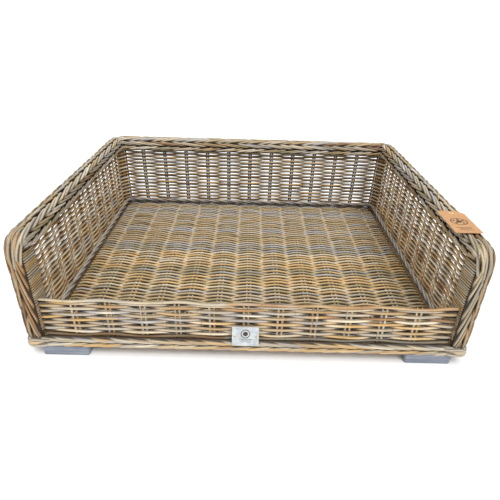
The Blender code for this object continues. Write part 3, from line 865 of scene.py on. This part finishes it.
def base_plaits():
    """The plait round the foot of the walls: two bands that slant opposite ways over a core painted dark as
    shade.
    """
    track = base_track()
    around = 2 * sum(BASE_RUNS) + 2 * math.pi * BASE_BEND
    part = Strands("plait_base", DEEP_CREASE)
    for rises, low, high in ((False, 0.0026, BASE_HALF - 0.0028), (True, -BASE_HALF + 0.0028, -0.0026)):
        for start in np.arange(0.060, around + 0.055, 0.042):
            middle = start + rng.uniform(-0.003, 0.003) + (0.012 if rises else 0)
            t = np.linspace(-0.22, 1.22, 30)
            s = middle + 0.092 * rng.uniform(0.94, 1.08) * (t - 0.5)
            across = np.clip(t if rises else 1 - t, -0.05, 1.05)
            end = np.minimum(t + 0.22, 1.22 - t)
            lift = -0.0062 * (1 - smooth(end / 0.32)) + 0.0009 * np.sin(np.clip(t, 0, 1) * math.pi)
            wind(part, track, s, low + (high - low) * across, lift, 0.0031, rng.uniform(0.1, 1.0))
    # The core lies deep in the plait, so wind paints it near black, as shade.
    core_s = np.arange(0, track.length, 0.008)
    for b in (-0.0085, -0.0030, 0.0030, 0.0085):
        wind(part, track, core_s, np.full_like(core_s, b), np.full_like(core_s, -0.0058), 0.0046, 0.1)
    base_corner_loops(part, track)
    return part


def base_corner_loops(part, track):
    """The ends of the two plaits that meet at each corner: strands that go round it and turn back."""
    arc = math.pi / 2 * BASE_BEND
    for index in range(4):
        middle = sum(BASE_RUNS[i % 2] for i in range(index + 1)) + arc * (index + 0.5)
        for heading in (-1, 1):
            lies_in_front = (index % 2 == 0) == (heading < 0)
            rise = 0.0050 if lies_in_front else 0.0030
            for loop, past, reach, size, tone in (
                (0.0084, -0.0010, 0.050, 0.0034, 0.40),
                (0.0022, -0.0030, 0.034, 0.0034, 0.54),
            ):
                theta = np.linspace(math.pi / 2, -math.pi / 2, 13)
                away = np.linspace(reach, 0.004, 9)
                ahead = np.concatenate([-away, loop * np.cos(theta), -away[::-1] * 0.8])
                b = np.concatenate([loop - away * 0.06, loop * np.sin(theta), away[::-1] * 0.06 - loop])
                near = np.concatenate([reach - away, np.full(13, reach), reach - away[::-1]])
                s = middle - heading * (past - loop + ahead)
                wind(part, track, s, b, rise - 0.0110 * (1 - smooth(near / 0.020)), size, tone)


def wind(part, track, s, b, lift, size, tone):
    """One strand along a flat-sided plait, at the heights b and standing lift out of the plait's middle."""
    path = track.place(s, lift, b)
    normal = track.direction(s, np.ones_like(s), np.zeros_like(s))
    radius = size * (1 + wobble(s, 0.03, 0.09))
    # Painted shade: the deeper the strand lies in the plait, the darker its colour.
    part.add(path, normal, radius, tone, np.clip(-lift / 0.0042, 0, 1) * 0.92)


def inner_wale():
    """Three strands twisted along the joint of the floor and the walls."""
    part = Strands("twist_inner_wale", DEEP_CREASE)
    front, back, right = (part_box("inner_wale_" + side) for side in ("front", "back", "right"))
    y_front = (front[0][1] + front[1][1]) / 2
    y_back = back[1][1] - 0.006
    x_side = (right[0][0] + right[1][0]) / 2
    middle_z = front[0][2] + 0.0090
    bend, step = 0.020, 0.008
    turn = np.linspace(0, math.pi / 2, 10)
    walls = [(-x_side, y) for y in np.arange(y_front + step, y_back - bend, step)]
    walls += [(-x_side + bend - bend * math.cos(a), y_back - bend + bend * math.sin(a)) for a in turn]
    walls += [(x, y_back) for x in np.arange(-x_side + bend + step, x_side - bend, step)]
    walls += [(x_side - bend + bend * math.sin(a), y_back - bend + bend * math.cos(a)) for a in turn]
    walls += [(x_side, y) for y in np.arange(y_back - bend - step, y_front + step, -step)]
    low_wall = [(x, y_front) for x in np.arange(-x_side + 0.012, x_side - 0.012, step)]
    for line in (np.array(walls), np.array(low_wall)):
        s = along(line)
        tangent = unit(np.gradient(line, axis=0))
        across = np.stack([-tangent[:, 1], tangent[:, 0]], 1)
        for i in range(3):
            angle = 2 * math.pi * (s / 0.120 + i / 3) + wobble(s, 0.15, 0.5)
            xy = line + across * (np.cos(angle) * 0.0034)[:, None]
            path = np.column_stack([xy, middle_z + np.sin(angle) * 0.0036])
            # Painted shade: each strand darkens where it turns down under the others.
            depth = np.clip(0.2 - np.sin(angle), 0, 1) * 0.75
            part.add(path, (0, 0, 1), 0.0033 + wobble(s, 0.0001, 0.3), 0.52 + wobble(s, 0.10, 0.6), depth)
    return part


def core(part, track, section, start, stop, first=0.004, count=8):
    """The bundle of canes round the pole, that a plait is worked over, painted near black as shade."""
    s = np.arange(start, stop, 0.008)
    for u in np.linspace(first, section.length - 0.004, count):
        a, b, na, nb = section.at(np.full(len(s), u), np.full(len(s), -0.0100))
        part.add(track.place(s, a, b), track.direction(s, na, nb), 0.0052, rng.uniform(0, 0.3), 0.9)


# ---- materials of the other parts

def object_space(made):
    return made.new("ShaderNodeTexCoord").outputs["Object"]


def plain_material(name, colours, stretch, rough, bump, metallic=0.0, distance=0.0005):
    """A material of a few near colours that vary with a stretched noise, with a fine grain in its surface."""
    made = Nodes(name)
    place = object_space(made)
    broad = made.noise(place, 1.0, 4.0, stretch, 0.6)
    fine = made.noise(place, 6.0, 3.0, stretch, 0.65)
    stops = [(0.30 + 0.40 * i / (len(colours) - 1), linear(*c)) for i, c in enumerate(colours)]
    colour = made.ramp(broad, stops)
    shade = made.span(fine, 0.3, 0.7, 0.86, 1.10)
    colour = made.mix(1.0, colour, shade, "MULTIPLY")
    made.link(colour, made.shader.inputs["Base Color"])
    made.link(made.span(fine, 0.3, 0.7, *rough), made.shader.inputs["Roughness"])
    made.shader.inputs["Metallic"].default_value = metallic
    made.bump(fine, bump, distance)
    return made.material


pole_cane = plain_material(
    "pole_cane", ((84, 64, 44), (112, 88, 60), (104, 88, 68)), (90, 60, 60),
    (0.38, 0.55), 0.3)
base_wood = plain_material(
    "base_wood", ((150, 116, 78), (182, 148, 106), (196, 170, 132)), (14, 60, 60),
    (0.6, 0.8), 0.4)
foot_paint = plain_material(
    "foot_paint", ((98, 105, 120), (122, 128, 141), (150, 153, 160)), (9, 9, 150),
    (0.42, 0.62), 0.35)
screw_steel = plain_material(
    "screw_steel", ((150, 150, 150), (186, 186, 184)), (300, 300, 300), (0.25, 0.45), 0.15, 1.0)
plate_paint = plain_material(
    "plate_paint", ((160, 166, 170), (182, 188, 192), (202, 206, 208)), (60, 60, 60),
    (0.35, 0.5), 0.12)
brass = plain_material(
    "brass_metal", ((176, 136, 70), (214, 178, 104)), (500, 500, 500), (0.22, 0.4), 0.15, 1.0)
card = plain_material(
    "kraft_board", ((176, 130, 86), (188, 143, 99), (198, 156, 113)), (150, 260, 150),
    (0.75, 0.9), 0.3, distance=0.0002)
ink = plain_material(
    "brown_ink", ((52, 40, 34), (70, 52, 42)), (400, 400, 400), (0.6, 0.8), 0.1)
card_edge = plain_material(
    "card_edge", ((236, 204, 156), (244, 220, 180)), (300, 300, 300), (0.8, 0.9), 0.2)


def twine_material():
    made = Nodes("orange_twine")
    place = object_space(made)
    fuzz = made.noise(place, 1.0, 3.0, (2600, 900, 2600), 0.6)
    stops = [(0.3, linear(190, 136, 78)), (0.5, linear(222, 176, 116)), (0.7, linear(240, 206, 152))]
    colour = made.ramp(fuzz, stops)
    made.link(colour, made.shader.inputs["Base Color"])
    made.shader.inputs["Roughness"].default_value = 0.85
    made.bump(fuzz, 0.5, 0.0003)
    return made.material


twine_fibre = twine_material()


def dress(material, *nodes):
    for node in nodes:
        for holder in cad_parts[node].material_slots:
            holder.material = material


# ---- twine, knot, tag and plate

def catmull(points, steps):
    """A smooth curve through the points, with this many steps between each two."""
    points = np.array(points, float)
    padded = np.vstack([2 * points[0] - points[1], points, 2 * points[-1] - points[-2]])
    made = []
    for i in range(1, len(padded) - 2):
        a, b, c, d = padded[i - 1:i + 3]
        for t in np.arange(steps) / steps:
            square, cube = (2 * a - 5 * b + 4 * c - d) * t * t, (3 * b - a - 3 * c + d) * t ** 3
            made.append(0.5 * (2 * b + (c - a) * t + square + cube))
    made.append(points[-1])
    return np.array(made)


def resample(points, step):
    s = along(points)
    at = np.linspace(0, s[-1], max(3, int(round(s[-1] / step)) + 1))
    return np.stack([np.interp(at, s, points[:, i]) for i in range(3)], -1)


def twisted(name, path, material, plies=2, sides=12):
    """A cord of a few twisted plies along a path."""
    path = np.asarray(path, float)
    tangent = unit(np.gradient(path, axis=0))
    side = unit(np.cross(tangent, np.array([0.0, 0.0, 1.0]) + 1e-4))
    lift = np.cross(side, tangent)
    angle = np.arange(sides) * 2 * math.pi / sides
    twist = along(path)[:, None] / TWINE_TURN * 2 * math.pi
    reach = TWINE_RADIUS * (0.80 + 0.20 * np.abs(np.cos(plies / 2 * (angle[None] - twist))))
    points = path[:, None] + reach[..., None] * (
        np.cos(angle)[None, :, None] * side[:, None] + np.sin(angle)[None, :, None] * lift[:, None])
    quads, tris = tube_faces(len(path), sides)
    facing_out = np.roll(quads[:, ::-1], 1, axis=1)
    made = mesh_of(name, points.reshape(-1, 3), facing_out, tris[:, ::-1])
    made.materials.append(material)
    return new_object(name, made)


route = catmull(TWINE_ROUTE, 8)
twine = twisted("tag_twine_cord", resample(route, 0.0005), twine_fibre)

tag_low, tag_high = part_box("hang_tag")
knot_low, knot_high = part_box("tag_knot")
HOLE = Vector(((knot_low[0] + knot_high[0]) / 2, (knot_low[1] + knot_high[1]) / 2, tag_high[2]))


def knot_path():
    """A small overhand knot over the tag's hole."""
    t = np.linspace(0, 2 * math.pi, 60)
    x = 0.00055 * (np.sin(t) + 1.5 * np.sin(2 * t))
    y = 0.00055 * (np.cos(t) - 1.5 * np.cos(2 * t))
    z = -0.00070 * np.sin(3 * t)
    middle = knot_low[2] + 0.0022
    return np.column_stack([HOLE[0] + x, HOLE[1] + y, middle + z])


knot = twisted("tag_knot_loops", knot_path(), twine_fibre)

PRINT = 0.00012                 # thickness of the print on the tag and the plate
SKIN = 0.00002                  # how far a flat piece is let into the face that it lies on


def flat_piece(name, outlines, thickness, place, material):
    """Flat shapes of one thickness, each a convex outline, put in place by a matrix."""
    made = bpy.data.meshes.new(name)
    points, faces = [], []
    for outline in outlines:
        n = len(outline)
        base = len(points)
        points += [(x, y, 0.0) for x, y in outline] + [(x, y, thickness) for x, y in outline]
        faces.append(tuple(base + n + i for i in range(n)))
        faces.append(tuple(base + n - 1 - i for i in range(n)))
        faces += [(base + i, base + (i + 1) % n, base + n + (i + 1) % n, base + n + i) for i in range(n)]
    made.from_pydata([tuple(place @ Vector(p)) for p in points], [], faces)
    made.materials.append(material)
    made.validate()
    return new_object(name, made)


def ring_parts(radius, width, count=40, centre=(0, 0)):
    """A flat ring as short convex blocks."""
    angle = np.arange(count + 1) * 2 * math.pi / count
    inner, outer = radius - width / 2, radius + width / 2
    blocks = []
    for a, b in zip(angle[:-1], angle[1:]):
        corners = ((inner, a), (outer, a), (outer, b), (inner, b))
        blocks.append([(centre[0] + r * math.cos(t), centre[1] + r * math.sin(t)) for r, t in corners])
    return blocks


def bar(x, y, width, height):
    return [(x - width / 2, y - height / 2), (x + width / 2, y - height / 2),
            (x + width / 2, y + height / 2), (x - width / 2, y + height / 2)]


def disc(x, y, radius, count=24):
    turns = [i * 2 * math.pi / count for i in range(count)]
    return [(x + radius * math.cos(turn), y + radius * math.sin(turn)) for turn in turns]


def tag_marks():
    """A plain ring with a disc and five petals in it, and a few plain lines under it."""
    centre = Vector(((tag_low[0] + tag_high[0]) / 2, (tag_low[1] + tag_high[1]) / 2, tag_high[2] - SKIN))
    shapes = ring_parts(0.0175, 0.0022) + [disc(0, 0, 0.0062)]
    petals = (0.5, 1.5708, 2.64, 3.9, 5.5)
    shapes += [disc(0.0112 * math.cos(a), 0.0112 * math.sin(a), 0.0030) for a in petals]
    shapes += [bar(0, -0.032 - 0.0062 * i, width, 0.0017) for i, width in enumerate((0.036, 0.026, 0.031))]
    return flat_piece("tag_print", shapes, PRINT, Matrix.Translation(centre), ink)


def tag_eyelet():
    shapes = ring_parts(0.0036, 0.0022, 28)
    place = Matrix.Translation((HOLE[0], HOLE[1], tag_high[2] - SKIN))
    return flat_piece("tag_eyelet_ring", shapes, 0.00025, place, card_edge)


PLATE_TILT = -11.5
plate_low, plate_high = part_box("name_plate")
plate_centre = (plate_low + plate_high) / 2
PLATE_HALF = 0.00075
plate_place = (
    Matrix.Translation(plate_centre)
    @ Matrix.Rotation(math.radians(PLATE_TILT), 4, "X")
    @ Matrix.Translation((0, -PLATE_HALF + SKIN, 0))
    @ Matrix.Rotation(math.radians(90), 4, "X")
)


def plate_marks():
    """A plain ring round a disc, and a few plain lines under it."""
    shapes = ring_parts(0.0098, 0.0017, 36, (0, 0.0062)) + [disc(0, 0.0062, 0.0055)]
    shapes += [bar(0, -0.0068, 0.030, 0.0011), bar(0, -0.0104, 0.021, 0.0008), bar(0, -0.0136, 0.025, 0.0008)]
    return flat_piece("plate_print", shapes, PRINT, plate_place, ink)


# ---- feet

def foot(name, material):
    """A foot block with rounded corners and a softened lower edge."""
    low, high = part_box(name)
    made = bpy.data.meshes.new(name + "_block")
    shape = bmesh.new()
    bmesh.ops.create_cube(shape, size=1.0)
    bmesh.ops.scale(shape, vec=high - low, verts=shape.verts)
    bmesh.ops.translate(shape, vec=(low + high) / 2, verts=shape.verts)
    upright = [e for e in shape.edges if abs(e.verts[0].co.z - e.verts[1].co.z) > 0.01]
    bmesh.ops.bevel(shape, geom=upright, offset=0.005, segments=4, affect="EDGES", profile=0.5)
    lower = [e for e in shape.edges if all(abs(v.co.z - low[2]) < 1e-5 for v in e.verts)]
    bmesh.ops.bevel(shape, geom=lower, offset=0.0035, segments=3, affect="EDGES", profile=0.5)
    shape.to_mesh(made)
    shape.free()
    for polygon in made.polygons:
        polygon.use_smooth = True
    made.set_sharp_from_angle(angle=math.radians(40))
    made.materials.append(material)
    return new_object(name + "_block", made)


# ---- putting it together

def settle(obj, slot, *nodes, body="basket"):
    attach(obj, body)
    if nodes:
        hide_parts(*nodes)
    return obj


walls = weave_walls()
settle(walls["left"].build(side_cane), "rattan", "woven_wall_left", "woven_corner_left")
settle(walls["back"].build(wall_cane), "rattan", "woven_wall_back")
settle(walls["right"].build(side_cane), "rattan", "woven_wall_right", "woven_corner_right")
settle(weave_front().build(front_cane), "rattan", "woven_wall_front")
for floor_part in weave_floor():
    settle(floor_part.build(floor_cane), "rattan_grey", "woven_floor")
settle(inner_wale().build(floor_cane), "rattan_grey", "inner_wale_front", "inner_wale_back",
       "inner_wale_left", "inner_wale_right")

for name, track, rim, edge in side_rims():
    core(edge, track, EDGE_SECTION, 0.002, TURN[1], 0.043, 6)
    core(rim, track, RIM_SECTION, EDGE_RUN + ARC * 0.8, track.length - ARC * 0.4)
    settle(rim.build(rim_cane), "rattan", "rim_braid_" + name)
    settle(edge.build(edge_cane), "rattan", "edge_braid_" + name)
track = back_track()
rim = back_rim(track)
core(rim, track, RIM_SECTION, ARC * 0.5, track.length - ARC * 0.5)
settle(rim.build(rim_cane), "rattan", "rim_braid_back")
settle(base_plaits().build(base_cane), "rattan", "base_braid_front", "base_braid_back", "base_braid_left",
       "base_braid_right")

for place in ("front_left", "front_right", "back_left", "back_right"):
    settle(foot("foot_" + place, foot_paint), "painted_wood", "foot_" + place)
    dress(screw_steel, f"screw_{place}_1", f"screw_{place}_2")
dress(pole_cane, "side_pole_left", "side_pole_right", "back_pole", "back_post_left", "back_post_right")
dress(base_wood, "base_rail_front", "base_rail_back", "base_rail_left", "base_rail_right",
      "base_slat_1", "base_slat_2", "base_slat_3")
dress(plate_paint, "name_plate")
dress(brass, "rivet_left", "rivet_right")
dress(card, "hang_tag")
settle(tag_marks(), "kraft_card", body="tag")
settle(tag_eyelet(), "kraft_card", body="tag")
settle(plate_marks(), "name_plate")
settle(knot, "twine", "tag_knot", body="tag")
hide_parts("tag_twine")
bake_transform(twine)


# ---- camera, floor and light

def make_camera():
    pitch, yaw, roll = (math.radians(v) for v in (CAMERA_PITCH, CAMERA_YAW, CAMERA_ROLL))
    ahead = Vector((math.sin(yaw) * math.cos(pitch), math.cos(yaw) * math.cos(pitch), -math.sin(pitch)))
    level = Vector((math.cos(yaw), -math.sin(yaw), 0))
    above = level.cross(ahead)
    right = level * math.cos(roll) + above * math.sin(roll)
    up = above * math.cos(roll) - level * math.sin(roll)
    data = bpy.data.cameras.new("camera")
    data.lens = CAMERA_LENS
    data.sensor_width = 36.0
    camera = new_object("camera", data)
    turn = Matrix((right, up, -ahead)).transposed().to_4x4()
    camera.matrix_world = Matrix.Translation(CAMERA_PLACE) @ turn
    bpy.context.scene.camera = camera


def make_stage():
    made = Nodes("pale_floor")
    grain = made.noise(object_space(made), 30.0, 3.0)
    pale = made.ramp(grain, [(0.3, (0.90, 0.90, 0.90)), (0.7, (0.93, 0.93, 0.93))])
    made.link(pale, made.shader.inputs["Base Color"])
    made.shader.inputs["Roughness"].default_value = 0.9
    reach = 12.0
    corners = [(-reach, -reach, 0), (reach, -reach, 0), (reach, reach, 0), (-reach, reach, 0)]
    mesh = bpy.data.meshes.new("ground")
    mesh.from_pydata(corners, [], [(0, 1, 2, 3)])
    mesh.materials.append(made.material)
    new_object("ground", mesh)


BACKDROP = 1.1                  # brightness of the world where the camera sees it
AMBIENT = 0.66                  # its brightness as a light
KEY = 1.95
TOP = 1.30


def sun(name, place, strength, spread):
    """A broad, soft light from place towards the middle, as even on the floor as on the object."""
    data = bpy.data.lights.new(name, "SUN")
    data.energy = strength
    data.angle = math.radians(spread)
    light = new_object(name, data)
    light.location = place
    light.rotation_euler = (-Vector(place)).to_track_quat("-Z", "Y").to_euler()


def make_light():
    world = bpy.data.worlds.new("studio")
    world.use_nodes = True
    nodes, links = world.node_tree.nodes, world.node_tree.links
    background = nodes["Background"]
    background.inputs["Color"].default_value = (1.0, 1.0, 1.0, 1.0)
    ray = nodes.new("ShaderNodeLightPath")
    strength = nodes.new("ShaderNodeMapRange")
    strength.inputs["To Min"].default_value = AMBIENT
    strength.inputs["To Max"].default_value = BACKDROP
    links.new(ray.outputs["Is Camera Ray"], strength.inputs["Value"])
    links.new(strength.outputs["Result"], background.inputs["Strength"])
    bpy.context.scene.world = world
    sun("key", (0.45, -1.1, 1.5), KEY, 30)
    sun("top", (-0.4, -0.1, 1.6), TOP, 60)


make_camera()
make_stage()
make_light()
bpy.context.scene.view_settings.view_transform = "Standard"
